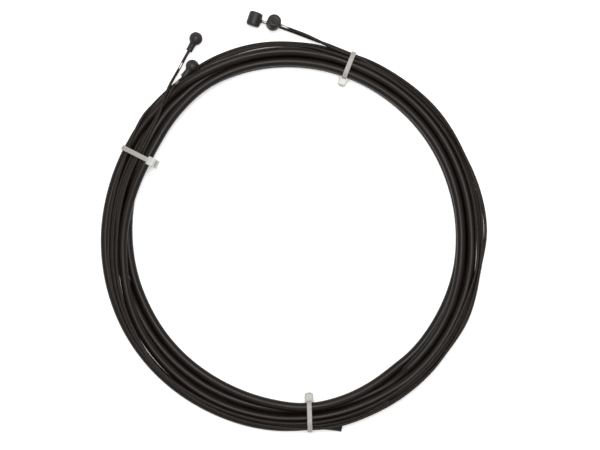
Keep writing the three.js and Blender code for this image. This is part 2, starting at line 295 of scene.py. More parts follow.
class Value:
    """A node's output socket, with arithmetic that adds Math nodes."""

    def __init__(self, nodes: "Nodes", socket: bpy.types.NodeSocket) -> None:
        """Keeps the socket and the node tree it belongs to."""
        self.nodes = nodes
        self.socket = socket

    def _math(self, operation: str, *values: "Value | float") -> "Value":
        """One Math node on these values."""
        return self.nodes.add("ShaderNodeMath", {"operation": operation}, dict(enumerate(values)))

    def __add__(self, other: "Value | float") -> "Value":
        """Self plus other."""
        return self._math("ADD", self, other)

    __radd__ = __add__

    def __mul__(self, other: "Value | float") -> "Value":
        """Self times other."""
        return self._math("MULTIPLY", self, other)

    __rmul__ = __mul__

    def __sub__(self, other: "Value | float") -> "Value":
        """Self minus other."""
        return self._math("SUBTRACT", self, other)

    def __rsub__(self, other: "Value | float") -> "Value":
        """Other minus self."""
        return self._math("SUBTRACT", other, self)

    def clamped(self) -> "Value":
        """Self, held between 0 and 1."""
        return self.nodes.add("ShaderNodeClamp", {}, {"Value": self})


@dataclass(frozen=True)
class Noise:
    """Noise in a finish, over the piece's own coordinates.

    Scale is in waves to the metre. Low and high are the levels between which it fades in. Amount is how
    much it mixes in a second colour, and uneven how much it adds to the roughness. Depth, in metres, and
    strength are those of its bumps.
    """

    scale: float
    detail: float = 3.0
    low: float = 0.0
    high: float = 1.0
    amount: float = 1.0
    uneven: float = 0.0
    depth: float = 0.0
    strength: float = 0.0
    fall_off: float = 0.6


class Nodes:
    """The node tree of a material or of the world."""

    def __init__(self, owner: bpy.types.Material | bpy.types.World, output_kind: str) -> None:
        """Starts the owner's tree with nothing but its output.

        Args:
            owner: A material or a world.
            output_kind: The type of its output node.
        """
        self.owner = owner
        self.owner.use_nodes = True
        self.tree = owner.node_tree
        self.tree.nodes.clear()
        self.output = self.tree.nodes.new(output_kind)

    @classmethod
    def of_material(cls, name: str) -> "Nodes":
        """The empty tree of a new material."""
        return cls(bpy.data.materials.new(name), "ShaderNodeOutputMaterial")

    def add(self, kind: str, settings: dict[str, Any], inputs: dict[Any, Any], output: Any = 0) -> Value:
        """Adds a node.

        Args:
            kind: The node's type.
            settings: Its properties, or "stops" as pairs of position and colour for a ramp.
            inputs: Values or sockets by the input's name or number.
            output: The name or number of the output wanted.

        Returns:
            That output.
        """
        node = self.tree.nodes.new(kind)
        for name, value in settings.items():
            if name == "stops":
                self._set_stops(node.color_ramp, value)
            else:
                setattr(node, name, value)
        for name, value in inputs.items():
            if isinstance(value, Value):
                self.tree.links.new(value.socket, node.inputs[name])
            else:
                node.inputs[name].default_value = value
        return Value(self, node.outputs[output])

    @staticmethod
    def _set_stops(ramp: bpy.types.ColorRamp, stops: Sequence[tuple[float, Sequence[float]]]) -> None:
        """Gives a ramp its stops.

        Args:
            ramp: The node's ramp, which starts with two.
            stops: Each one's position and colour.
        """
        while len(ramp.elements) < len(stops):
            ramp.elements.new(1.0)
        for element, (position, colour) in zip(ramp.elements, stops):
            element.position = position
            element.color = colour

    def attribute(self, name: str) -> Value:
        """The value that the mesh's points carry under this name."""
        return self.add("ShaderNodeAttribute", {"attribute_name": name}, {}, "Fac")

    def noise(self, noise: Noise) -> Value:
        """The noise itself, before it is faded in or makes bumps.

        Args:
            noise: Its scale, detail and fall-off.

        Returns:
            A value about a half, between 0 and 1.
        """
        place = self.add("ShaderNodeTexCoord", {}, {}, "Object")
        values = {"Vector": place, "Scale": noise.scale, "Detail": noise.detail, "Roughness": noise.fall_off}
        return self.add("ShaderNodeTexNoise", {}, values, "Fac")

    def ramp(self, factor: Value, low: float, high: float) -> Value:
        """Takes a factor from 0 at low to 1 at high."""
        stops = [(low, BLACK), (high, WHITE)]
        return self.add("ShaderNodeValToRGB", {"stops": stops}, {"Fac": factor}, "Color")

    def mix(self, factor: Value, first: Sequence[float] | Value, second: Sequence[float] | Value) -> Value:
        """A colour between two, first where the factor is 0."""
        inputs = {"Factor": factor, 6: first, 7: second}
        return self.add("ShaderNodeMix", {"data_type": "RGBA"}, inputs, 2)

    def bump(self, height: Value, noise: Noise) -> Value:
        """A normal with bumps as deep and as strong as the noise's own."""
        inputs = {"Height": height, "Distance": noise.depth, "Strength": noise.strength}
        return self.add("ShaderNodeBump", {}, inputs)

    def end(self, shader: Value) -> None:
        """Leads a shader to the tree's output."""
        self.tree.links.new(shader.socket, self.output.inputs["Surface"])

    def surface(self, inputs: dict[str, Any]) -> bpy.types.Material:
        """Ends the tree in one Principled shader and returns the material."""
        self.end(self.add("ShaderNodeBsdfPrincipled", {}, inputs))
        return self.owner


def linear(red: int, green: int, blue: int) -> Colour:
    """A colour written as three bytes, as the shader's linear values.

    Each part over 255 is divided by 12.92 where it is 0.04045 or less. Elsewhere it is raised by 0.055,
    divided by 1.055 and taken to the power of 2.4.

    Args:
        red: From 0 to 255, as are the others.
        green: The second part.
        blue: The third part.

    Returns:
        The linear parts and full opacity.
    """
    parts = [part / 255 for part in (red, green, blue)]
    parts = [part / 12.92 if part <= 0.04045 else ((part + 0.055) / 1.055) ** 2.4 for part in parts]
    return (parts[0], parts[1], parts[2], 1.0)


# Finishes


@dataclass(frozen=True)
class JacketFinish:
    """Extruded black plastic, with a soft gloss and faint rubbed patches."""

    colour: Colour = linear(17, 12, 9)
    rubbed_colour: Colour = linear(29, 23, 20)
    roughness: float = 0.31
    shine: float = 0.14
    rubbing: Noise = Noise(60.0, low=0.42, high=0.72, amount=0.6, uneven=0.1)
    grain: Noise = Noise(2600.0, 2.0, uneven=0.08, depth=0.00003, strength=0.35)

    def material(self) -> bpy.types.Material:
        """Builds the material.

        Returns:
            The material.
        """
        nodes = Nodes.of_material("black_jacket")
        patches = nodes.ramp(nodes.noise(self.rubbing), self.rubbing.low, self.rubbing.high)
        grain = nodes.noise(self.grain)
        return nodes.surface({
            "Base Color": nodes.mix(patches * self.rubbing.amount, self.colour, self.rubbed_colour),
            "Roughness": patches * self.rubbing.uneven + grain * self.grain.uneven + self.roughness,
            "Normal": nodes.bump(grain, self.grain),
            "Specular IOR Level": self.shine,
        })


@dataclass(frozen=True)
class CoatedWireFinish:
    """Steel strands under a thin dark coating, bare where the attribute "bare" is 1."""

    colour: Colour = linear(26, 21, 18)
    worn_colour: Colour = linear(46, 40, 36)
    bare_colour: Colour = linear(140, 133, 127)
    shine: float = 0.13
    roughness: float = 0.5
    bare_roughness: float = 0.36
    wear: Noise = Noise(900.0, 2.0, low=0.45, high=0.7, amount=0.5)
    grain: Noise = Noise(4000.0, 2.0, depth=0.00003, strength=0.3)

    def material(self) -> bpy.types.Material:
        """Builds the material.

        Returns:
            The material.
        """
        nodes = Nodes.of_material("coated_wire")
        bare = nodes.attribute("bare")
        speckle = nodes.ramp(nodes.noise(self.wear), self.wear.low, self.wear.high)
        coating = nodes.mix(speckle * self.wear.amount, self.colour, self.worn_colour)
        return nodes.surface({
            "Base Color": nodes.mix(bare, coating, self.bare_colour),
            "Metallic": bare,
            "Roughness": self.roughness - bare * (self.roughness - self.bare_roughness),
            "Normal": nodes.bump(nodes.noise(self.grain), self.grain),
            "Specular IOR Level": self.shine,
        })


@dataclass(frozen=True)
class MetalFinish:
    """Cast or drawn metal with fine dark speckles."""

    name: str
    colour: Colour
    speckle_colour: Colour
    metallic: float
    roughness: float
    shine: float = 0.3
    grain: Noise = Noise(1800.0, low=0.4, high=0.62, uneven=0.2, depth=0.00006, strength=0.5)

    def material(self) -> bpy.types.Material:
        """Builds the material.

        Returns:
            The material.
        """
        nodes = Nodes.of_material(self.name)
        grain = nodes.noise(self.grain)
        speckle = nodes.ramp(grain, self.grain.low, self.grain.high)
        return nodes.surface({
            "Base Color": nodes.mix(speckle, self.colour, self.speckle_colour),
            "Metallic": self.metallic,
            "Roughness": grain * self.grain.uneven + self.roughness,
            "Normal": nodes.bump(grain, self.grain),
            "Specular IOR Level": self.shine,
        })


@dataclass(frozen=True)
class LinerFinish:
    """Slippery pale plastic of the lining tube."""

    colour: Colour = linear(226, 224, 214)
    cloudy_colour: Colour = linear(196, 190, 176)
    roughness: float = 0.3
    cloud: Noise = Noise(700.0, amount=0.25, uneven=0.15)

    def material(self) -> bpy.types.Material:
        """Builds the material.

        Returns:
            The material.
        """
        nodes = Nodes.of_material("pale_liner")
        cloud = nodes.noise(self.cloud)
        return nodes.surface({
            "Base Color": nodes.mix(cloud * self.cloud.amount, self.colour, self.cloudy_colour),
            "Roughness": cloud * self.cloud.uneven + self.roughness,
        })


@dataclass(frozen=True)
class NylonFinish:
    """Natural nylon: milky, with a satin skin, and the greyer the higher the attribute "backed" is.

    This greying is painted into the colour: it is 1 where the nylon lies on dark cords, standing in for
    their showing through it, a given share on a tie's head as painted shade, and 0 where nothing dark is
    behind.
    """

    colour: Colour = linear(197, 197, 191)
    cloudy_colour: Colour = linear(180, 180, 173)
    # painted grey: stands in for dark cords seen through the nylon, and for painted shade on a tie's head
    see_through_and_shade_colour: Colour = linear(150, 147, 142)
    roughness: float = 0.42
    shine: float = 0.35
    milkiness: float = 0.3
    light_reach: tuple[float, float, float] = (1.0, 0.95, 0.85)
    light_depth: float = 0.0008
    cloud: Noise = Noise(420.0, low=0.35, high=0.7)
    grain: Noise = Noise(3000.0, 2.0, uneven=0.12, depth=0.00002, strength=0.3)

    def material(self) -> bpy.types.Material:
        """Builds the material.

        Returns:
            The material.
        """
        nodes = Nodes.of_material("natural_nylon")
        clouds = nodes.ramp(nodes.noise(self.cloud), self.cloud.low, self.cloud.high)
        grain = nodes.noise(self.grain)
        milky = nodes.mix(clouds, self.colour, self.cloudy_colour)
        return nodes.surface({
            # painted darkening, mixed into the base colour by the see-through and shade attribute
            "Base Color": nodes.mix(nodes.attribute("see_through_and_shade"), milky, self.see_through_and_shade_colour),
            "Roughness": grain * self.grain.uneven + self.roughness,
            "Normal": nodes.bump(grain, self.grain),
            "Specular IOR Level": self.shine,
            "Subsurface Weight": self.milkiness,
            "Subsurface Radius": self.light_reach,
            "Subsurface Scale": self.light_depth,
        })


class Finishes:
    """The materials, made once."""

    def __init__(self) -> None:
        """Makes each material."""
        self.jacket = JacketFinish().material()
        self.wire = CoatedWireFinish().material()
        self.steel = MetalFinish(
            "wound_steel", linear(190, 186, 180), linear(120, 116, 110), metallic=1.0, roughness=0.28
        ).material()
        self.liner = LinerFinish().material()
        self.nipple = MetalFinish(
            "nipple_metal", linear(38, 34, 32), linear(21, 18, 17), metallic=0.2, roughness=0.4
        ).material()
        self.nylon = NylonFinish().material()


# The coil's turns

# Heights of a strand's middle: low on the surface, bedded between two strands, and on top of others
LOW = 3.9
MIDDLE = 7.0
HIGH = 8.7


@dataclass
class Strand:
    """One cord in the coil, sampled at every whole degree that it goes round.

    A knot is the angle gone round and the distance from the coil's centre there, from one end to the other.
    A layer knot is an angle and the height that the strand starts its settling from. A tail is a free end's
    route, as points of angle, distance and height, which hold the strand more and more towards that end.
    Stiffness is the spread, in degrees, over which it evens out a bend, and yielding is how readily it gives
    way to another strand.
    """

    name: str
    radius: float
    stiffness: float
    yielding: float
    knots: Knots
    layers: Knots
    tails: Sequence[Route] = ()
    tail_fade: float = 5.0
    tail_spread: float = 1.0

    def __post_init__(self) -> None:
        """Samples the knots, rounds their corners off and sets how far the tails hold each sample."""
        knots, layers = np.array(sorted(self.knots)), np.array(sorted(self.layers))
        first, last = knots[0, 0], knots[-1, 0]
        whole = np.arange(math.floor(first) + 1, math.ceil(last), dtype=float)
        self.angles = np.concatenate([[first], whole, [last]])
        self.aim = smoothed(np.interp(self.angles, *knots.T), self.stiffness)
        self.start = smoothed(np.interp(self.angles, *layers.T), 2 * self.stiffness)
        self.pull = np.zeros(len(self.angles))
        for tail in self.tails:
            self._hold(np.array(sorted(tail)))
        self.distance = self.aim.copy()
        self.height = self.start.copy()

    def _hold(self, tail: np.ndarray) -> None:
        """Draws the strand's aim to a tail, from nothing where it leaves the coil to fully at its end.

        Args:
            tail: Rows of angle, distance and height.
        """
        at_start = abs(tail[0, 0] - self.angles[0]) < abs(tail[-1, 0] - self.angles[-1])
        gone = tail[-1, 0] - self.angles if at_start else self.angles - tail[0, 0]
        share = np.clip(gone / self.tail_fade, 0, 1)
        self.pull = np.maximum(self.pull, share)
        routes = (np.interp(self.angles, tail[:, 0], values) for values in tail[:, 1:].T)
        distance, height = (smoothed(route, self.tail_spread) for route in routes)
        self.aim += share * (distance - self.aim)
        self.start += share * (height - self.start)


@dataclass
class Bundle:
    """All the strands of the coil, settled on and beside each other.

    At each degree the strands' sections are circles. Two that overlap are pushed apart along the line
    between their centres, the thinner one further. Each strand is drawn back to its own distance from the
    centre, sinks under its weight to the surface, and spreads every push along its length as its
    stiffness does. In the closing rounds it is drawn back and evened out less. Near a tie it is lifted
    by what the strap under it takes up.
    """

    strands: list[Strand]
    tie_angles: Sequence[float]
    tie_lift: float = 1.25
    tie_reach: float = 16.0
    tie_fade: float = 1.6
    clear_of_floor: float = 0.04
    same_place: float = 1e-6
    rounds: int = 520
    closing_from: float = 0.75
    closing_ease: float = 0.3
    push_spread: float = 0.6
    closing_push_spread: float = 0.25
    drawn_back: float = 0.15
    drawn_to_tail: float = 0.15
    sink: float = 0.01
    evening: float = 0.35

    def __post_init__(self) -> None:
        """Numbers each strand's passes round the coil and finds where each sample lies."""
        self.columns: list[np.ndarray] = []
        self.rows: list[np.ndarray] = []
        row = 0
        for strand in self.strands:
            whole = np.rint(strand.angles).astype(int)
            turns = whole // FULL_TURN
            self.columns.append(whole % FULL_TURN)
            self.rows.append(row + turns - turns.min())
            row += int(turns.max() - turns.min()) + 1
        self.row_count = row
        self.row_radius = np.zeros(row)
        self.row_yield = np.ones(row)
        for strand, rows in zip(self.strands, self.rows):
            self.row_radius[rows] = strand.radius
            self.row_yield[rows] = strand.yielding

    def _table(self, values: Callable[[Strand], np.ndarray]) -> np.ndarray:
        """Lays a value of every sample out by pass and degree.

        Args:
            values: Reads the values off a strand.

        Returns:
            The table, with nothing where no strand is.
        """
        table = np.full((self.row_count, FULL_TURN), np.nan)
        for strand, rows, columns in zip(self.strands, self.rows, self.columns):
            table[rows, columns] = values(strand)
        return table

    def floor(self, strand: Strand) -> np.ndarray:
        """Lowest height of a strand's middle: on the surface, and on the straps at the ties.

        A tie's lift is the fade less the degrees from it over its reach, between 0 and 1.

        Args:
            strand: The strand.

        Returns:
            A height for each of its samples.
        """
        lift = np.zeros(len(strand.angles))
        half_turn = FULL_TURN / 2
        for tie in self.tie_angles:
            away = np.abs((strand.angles - tie + half_turn) % FULL_TURN - half_turn)
            lift = np.maximum(lift, np.clip(self.tie_fade - away / self.tie_reach, 0, 1))
        return strand.radius + self.clear_of_floor + self.tie_lift * lift

    def section(self, degrees: float) -> np.ndarray:
        """The strands' circles at an angle, by every pass that reaches it.

        Args:
            degrees: The angle, in the first turn.

        Returns:
            Rows of distance, height and radius.
        """
        circles = []
        for strand in self.strands:
            first, last = (strand.angles[[0, -1]] - degrees) / FULL_TURN
            for turn in range(math.ceil(first), math.floor(last) + 1):
                angle = degrees + turn * FULL_TURN
                distance = np.interp(angle, strand.angles, strand.distance)
                circles.append((distance, np.interp(angle, strand.angles, strand.height), strand.radius))
        return np.array(circles)

    def _between(self) -> tuple[np.ndarray, np.ndarray, np.ndarray]:
        """How each pass lies to each other one, at every degree.

        Returns:
            How far outwards and upwards, and how far apart the two belong.
        """
        distance = self._table(lambda strand: strand.distance)
        height = self._table(lambda strand: strand.height)
        need = (self.row_radius[:, None] + self.row_radius[None])[..., None]
        return distance[:, None] - distance[None], height[:, None] - height[None], need

    def pushes(self) -> tuple[np.ndarray, np.ndarray]:
        """The way each pass is pushed at each degree by those that overlap it.

        It is the sum of the overlaps, each along the line between the two centres and shared out by how
        readily the two yield.

        Returns:
            The ways outwards and upwards, by pass and degree.
        """
        outwards, upwards, need = self._between()
        apart = np.hypot(outwards, upwards)
        overlap = np.nan_to_num(np.where((apart < need) & (apart > self.same_place), need - apart, 0.0))
        share = (self.row_yield[:, None] / (self.row_yield[:, None] + self.row_yield[None]))[..., None]
        scale = share * overlap / np.where(overlap > 0, apart, 1.0)
        return np.nansum(scale * outwards, axis=1), np.nansum(scale * upwards, axis=1)

    def settle(self) -> float:
        """Lets the bundle settle.

        Returns:
            The deepest overlap that is left, in millimetres.
        """
        for turn in range(self.rounds):
            closing = turn > self.closing_from * self.rounds
            ease = self.closing_ease if closing else 1.0
            push_spread = self.closing_push_spread if closing else self.push_spread
            even = self.evening * ease
            outwards, upwards = self.pushes()
            for strand, rows, columns in zip(self.strands, self.rows, self.columns):
                spread = strand.stiffness * push_spread
                push_out = outwards[rows, columns]
                push_up = upwards[rows, columns]
                strand.distance += (smoothed(push_out, spread) + push_out) / 2
                strand.height += (smoothed(push_up, spread) + push_up) / 2
                back = self.drawn_back + self.drawn_to_tail * strand.pull
                strand.distance += ease * back * (strand.aim - strand.distance)
                strand.height -= ease * self.sink * (1 - strand.pull)
                strand.height += ease * self.drawn_to_tail * strand.pull * (strand.start - strand.height)
                strand.distance += even * (smoothed(strand.distance, strand.stiffness / 2) - strand.distance)
                strand.height += even * (smoothed(strand.height, strand.stiffness) - strand.height)
                strand.height = np.maximum(strand.height, self.floor(strand))
        outwards, upwards, need = self._between()
        same = np.eye(self.row_count, dtype=bool)[..., None]
        return float(np.nanmax(np.where(same, np.nan, need - np.hypot(outwards, upwards))))


@dataclass
class CoilPlan:
    """Where the coil lies, and each strand's way round it, as read from how the coil is wound.

    The strands settle a squeeze thinner than they are, because real ones press into each other. A seat is a
    strand's distance and height in its tie. A route is its free end beyond the tie, in degrees from the tie
    and in ways outwards and upwards from the seat.
    """

    housing_radius: float = 2.5
    housing_stiffness: float = 4.0
    housing_yielding: float = 0.35
    wire_radius: float = 0.8
    wire_stiffness: float = 2.2
    squeeze: float = 0.03
    upper_tie: float = 72.5
    side_tie: float = 153.3
    lower_tie: float = 274.7
    front_seat: tuple[float, float] = (104.0, 3.65)
    rear_seat: tuple[float, float] = (100.2, 7.0)
    front_barrel_route: Route = (
        (2, 0, 0), (6, 0.3, 0), (10.3, 1.4, 0.1), (15.4, 4.4, 0.3), (19.3, 7.2, 0.4), (22.8, 10.1, 0.4),
        (25.7, 12.7, 0.8), (27.2, 14.1, 1.0),
    )
    rear_barrel_route: Route = (
        (2, 0, 0), (4.9, 1.9, 0.1), (8.1, 3.8, 0.5), (11.1, 5.8, 1.0), (15.1, 8.5, 1.8), (19, 11.0, 2.4),
        (22.3, 14.0, 2.9),
    )
    front_pear_route: Route = (
        (-2.3, 0, 0), (-9.3, 0, 0), (-16.3, 0, 0.15), (-22.8, 0.3, 0.65), (-25.2, 1.8, 1.1),
        (-30.6, 7.5, 2.0), (-34.2, 11.6, 2.6),
    )
    rear_pear_route: Route = (
        (-2.3, 0, 0), (-9.3, 0, 0.1), (-16.3, 0, 0.3), (-22.2, 0.65, 0.7), (-25.4, 2.3, 1.0),
        (-29.1, 4.5, 1.4),
    )

    @staticmethod
    def seated(route: Route, seat: tuple[float, float], tie: float, turns: int) -> Route:
        """A route's points as angle gone round, distance and height.

        Args:
            route: Degrees from the tie, way outwards and way upwards from the seat.
            seat: Distance and height of the strand in its tie.
            tie: The tie's angle.
            turns: Whole turns gone round before the tie.

        Returns:
            One point for each of the route's.
        """
        before = tie + turns * FULL_TURN
        return [(before + degrees, seat[0] + out, seat[1] + upwards) for degrees, out, upwards in route]

    def centre(self) -> np.ndarray:
        """The coil's centre on the surface, in millimetres in the part's frame."""
        low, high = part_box("housing_coil")
        return np.array([(low.x + high.x) / 2, (low.y + high.y) / 2, 0.0]) / MM

    def _wire(self, name: str, knots: Knots, layers: Knots, tails: Sequence[Route]) -> Strand:
        """A wire, which bends more readily than the housing and gives way to it."""
        return Strand(name, self.wire_radius - self.squeeze, self.wire_stiffness, 1.0, knots, layers, tails)

    def housing(self) -> Strand:
        """The housing, from its cut end by the lower tie inwards, three times over and then under itself."""
        return Strand(
            "housing", self.housing_radius - self.squeeze, self.housing_stiffness, self.housing_yielding,
            knots=(
                (283.9, 106.9), (283, 105.7), (282, 104.1), (281, 102.8), (280, 102.0), (278, 101.8),
                (276, 102.2), (272, 103.3), (262, 104.0), (250, 104.0), (240, 104.0), (225, 104.2),
                (210, 104.0), (200, 103.5), (190, 103.0), (180, 102.5), (165, 101.5), (153, 101.3),
                (140, 100.8), (133, 100.3), (120, 99.9), (100, 99.4), (90, 99.1), (80, 98.4), (72, 97.2),
                (60, 96.4), (40, 95.8), (20, 95.2), (0, 95.2), (-6, 95.9), (-10, 96.4), (-18, 97.1),
                (-30, 97.7), (-50, 98.5), (-75, 98.6), (-90, 98.9), (-110, 99.4), (-120, 99.4),
                (-130, 98.9), (-140, 98.4), (-150, 97.5), (-160, 95.7), (-165, 94.4), (-170, 93.5),
                (-180, 92.3), (-190, 90.6), (-200, 89.4), (-210, 89.1), (-215, 89.6), (-220, 90.4),
                (-225, 91.6), (-230, 92.9), (-235, 93.7), (-240, 94.2), (-250, 94.8), (-260, 94.3),
                (-270, 93.6), (-280, 92.9), (-288, 92.3), (-300, 91.5), (-320, 91.0), (-340, 90.2),
                (-360, 89.8), (-375, 91.2), (-390, 93.2), (-408, 95.0), (-435, 94.9), (-455, 94.6),
                (-480, 94.6), (-500, 94.6), (-517, 94.1), (-530, 95.2), (-540, 95.8), (-570, 95.6),
                (-585, 95.4), (-600, 95.2), (-610, 94.9), (-620, 94.5), (-630, 93.8), (-640, 93.1),
                (-648, 92.4), (-660, 91.3), (-680, 90.4), (-700, 89.6), (-720, 89.8), (-730, 90.3),
                (-750, 90.2), (-760, 90.6), (-770, 91.0), (-780, 91.4), (-790, 92.0), (-795, 92.6),
                (-800, 93.1), (-805, 93.2), (-810, 92.7), (-815, 92.0), (-820, 91.2), (-830, 90.3),
                (-840, 89.8), (-850, 89.7), (-870, 89.5), (-885, 89.7), (-900, 90.1), (-910, 90.6),
                (-920, 91.6), (-930, 93.2), (-945, 96.0), (-960, 97.7), (-990, 97.9), (-1008, 97.0),
                (-1040, 95.4), (-1080, 94.6), (-1100, 95.6), (-1130, 96.5),
            ),
            layers=(
                (283.9, LOW), (160, LOW), (130, HIGH), (-45, HIGH), (-60, MIDDLE), (-130, MIDDLE),
                (-150, HIGH), (-390, HIGH), (-405, LOW), (-790, LOW), (-800, HIGH), (-812, HIGH),
                (-825, LOW), (-1130, LOW),
            ),
        )

    def front_wire(self) -> Strand:
        """The front brake's wire, from its pear to its barrel."""
        return self._wire(
            "front_wire",
            knots=(
                (119.1, 115.6), (130.5, 104.3), (132, 102.5), (136.8, 97.8), (143, 95.2), (150.6, 93.8),
                (165, 94.4), (180, 95.1), (195, 97.7), (205, 99.4), (212, 100.2), (217, 101.0),
                (221, 102.2), (227, 102.3), (236, 101.4), (255, 100.9), (285, 101.0), (300, 100.3),
                (315, 99.7), (334, 98.8), (343, 98.9), (348, 99.6), (353, 99.5), (357, 98.6), (362, 98.2),
                (374, 98.0), (400, 98.4), (420, 98.7), (432, 99.1), (442, 100.4), (450, 102.2),
                (455, 103.1), (460, 103.7), (470, 103.7), (480, 102.7), (490, 101.2), (500, 98.6),
                (510, 96.2), (525, 96.9), (540, 97.3), (555, 99.6), (570, 101.6), (585, 102.2),
                (600, 103.0), (628, 103.4), (636, 104.5), (641, 105.0), (645, 104.9), (652, 104.4),
                (660, 104.3), (675, 103.6), (683, 102.7), (694, 102.1), (710, 101.0), (716, 100.9),
                (722, 101.0), (728, 101.2), (734, 101.3), (746, 100.9), (760, 102.1), (780, 101.9),
                (792, 102.2), (798.5, 103.8), (802.8, 105.3), (807.9, 108.4), (811.8, 111.2),
                (819.7, 118.1),
            ),
            layers=((119.1, 15.0), (435, 14.0), (452, 6.0), (500, 6.0), (515, 13.0), (819.7, 14.0)),
            tails=(
                self.seated(self.front_pear_route[3:], self.front_seat, self.side_tie, 0),
                self.seated(self.front_barrel_route[1:], self.front_seat, self.upper_tie, 2),
            ),
        )

    def rear_wire(self) -> Strand:
        """The rear brake's wire, from its pear to its barrel."""
        return self._wire(
            "rear_wire",
            knots=(
                (124.2, 104.7), (130, 101.7), (133.4, 100.6), (137, 98.7), (141, 96.9), (145, 95.7),
                (150, 94.9), (165, 95.7), (180, 96.2), (195, 98.5), (205, 100.4), (212, 101.2),
                (218, 102.3), (223, 102.9), (228, 102.7), (238, 101.7), (268, 101.4), (285, 101.5),
                (300, 100.9), (315, 100.2), (334, 99.5), (343, 99.6), (348, 100.2), (353, 100.1),
                (357, 99.3), (362, 98.9), (374, 98.8), (400, 99.2), (432, 99.4), (441, 101.0),
                (450, 102.9), (455, 103.8), (460, 104.4), (470, 104.6), (480, 104.0), (490, 102.4),
                (500, 99.9), (510, 97.5), (525, 98.2), (540, 98.6), (555, 100.7), (570, 102.4),
                (585, 103.0), (600, 102.0), (628, 101.6), (645, 102.3), (660, 101.8), (675, 101.4),
                (694, 101.0), (706, 100.3), (716, 100.4), (726, 100.2), (734, 99.9), (780, 99.7),
                (792, 99.9), (796, 101.8), (800, 103.1), (803, 103.5), (810, 104.2), (815, 105.0),
                (820, 105.6), (825, 105.9), (830, 105.9), (835, 105.7), (840, 105.2), (845, 104.4),
                (850, 104.1), (855, 104.1), (860, 103.4), (865, 102.8), (870, 101.6), (876, 100.1),
                (885, 99.6), (900, 100.0), (915, 101.8), (930, 103.5), (945, 103.8), (960, 102.2),
                (988, 102.2), (1005, 103.7), (1020, 103.4), (1043, 102.9), (1054, 103.6), (1070, 101.0),
                (1074, 101.8), (1080, 103.1), (1086, 103.0), (1092, 102.5), (1106, 101.0), (1120, 100.9),
                (1140, 100.9), (1150, 101.2), (1157.4, 102.1), (1160.6, 104.0), (1163.6, 106.0),
                (1167.6, 108.7), (1171.5, 111.2), (1174.8, 114.2),
            ),
            layers=(
                (124.2, 14.0), (200, 12.6), (435, 12.6), (452, 5.0), (500, 5.0), (515, 12.0), (792, 12.0),
                (806, 4.0), (862, 4.0), (876, 12.0), (1174.8, 13.4),
            ),
            tails=(
                self.seated(self.rear_pear_route[3:], self.rear_seat, self.side_tie, 0),
                self.seated(self.rear_barrel_route[1:], self.rear_seat, self.upper_tie, 3),
            ),
        )


# The pieces


def finished(obj: bpy.types.Object, material: bpy.types.Material) -> bpy.types.Object:
    """Gives a piece its material and slot and lets it ride on the part's body.

    Args:
        obj: The piece.
        material: Its material.

    Returns:
        The piece.
    """
    obj.data.materials.append(material)
    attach(obj, "root")
    log.info("made %s with %d points", obj.name, len(obj.data.vertices))
    return obj


@dataclass
class Housing:
    """The housing: a jacket over a steel winding over a liner, square-cut at both ends.

    The jacket is one tube along the whole way. The winding and the liner show only in the cut ends, so each
    has a stub that reaches some way in from either end.
    """

    path: Path
    outer_radius: float = 2.5
    jacket_wall: float = 0.45
    winding_wall: float = 0.55
    liner_wall: float = 0.3
    nest_gap: float = 0.05
    stub: float = 15.0
    bore_past_stub: float = 1.0
    edge: float = 0.1
    sides: int = 20
    step: float = 1.6
    recess: float = 0.12

    def _jacket(self) -> bpy.types.Object:
        """Carries a profile of distance along and radius: out of one bore, over its end, and along.

        Returns:
            The jacket, with no material yet.
        """
        inner = self.outer_radius - self.jacket_wall
        bore = np.arange(self.stub + self.bore_past_stub, 0, -self.step)
        middle = np.linspace(self.edge, self.path.length - self.edge, round(self.path.length / self.step))
        first = [(d, inner) for d in bore] + [(0.0, inner), (0.0, self.outer_radius - self.edge)]
        last = [(self.path.length - d, r) for d, r in reversed(first)]
        profile = np.array(first + [(d, self.outer_radius) for d in middle] + last)
        points = carried(self.path, profile[:, 0], profile[:, 1], ring_angles(self.sides))
        return mesh_object("housing_jacket", points, grid_faces(len(profile), self.sides, False, True))

    def _stubs(self, name: str, outer: float, wall: float, sunk: float) -> bpy.types.Object:
        """A closed ring profile carried along the first and the last stretch of the way.

        Args:
            name: The piece's name.
            outer: Its outer radius.
            wall: Its wall.
            sunk: How far its face lies inside the cut end.

        Returns:
            Both stubs as one object.
        """
        inner = outer - wall
        reach = np.arange(sunk + self.edge, self.stub, self.step)
        first = np.array(
            [(sunk, inner + self.edge / 2), (sunk, outer - self.edge / 2)] + [(d, outer) for d in reach]
            + [(self.stub, outer), (self.stub, inner)] + [(d, inner) for d in reach[::-1]]
        )
        last = first[::-1] * (-1.0, 1.0) + (self.path.length, 0.0)
        faces = grid_faces(len(first), self.sides, True, False)
        angles = ring_angles(self.sides)
        stubs = [(carried(self.path, ends[:, 0], ends[:, 1], angles), faces) for ends in (first, last)]
        return mesh_object(name, *joined(*stubs))

    def build(self, finishes: Finishes) -> list[bpy.types.Object]:
        """Args:
            finishes: The materials.

        Returns:
            The three pieces.
        """
        jacket = finished(self._jacket(), finishes.jacket)
        winding_outer = self.outer_radius - self.jacket_wall - self.nest_gap
        liner_outer = winding_outer - self.winding_wall - self.nest_gap
        winding = self._stubs("housing_winding", winding_outer, self.winding_wall, self.recess / 2)
        finished(winding, finishes.steel)
        liner = self._stubs("housing_liner", liner_outer, self.liner_wall, self.recess)
        finished(liner, finishes.liner)
        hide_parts("housing_coil", "housing_end_jacket")
        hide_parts("housing_end_winding")
        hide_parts("housing_end_liner")
        rings = self.path.resampled(self.step).points * MM
        2 * self.outer_radius * MM
        return [jacket, winding, liner]


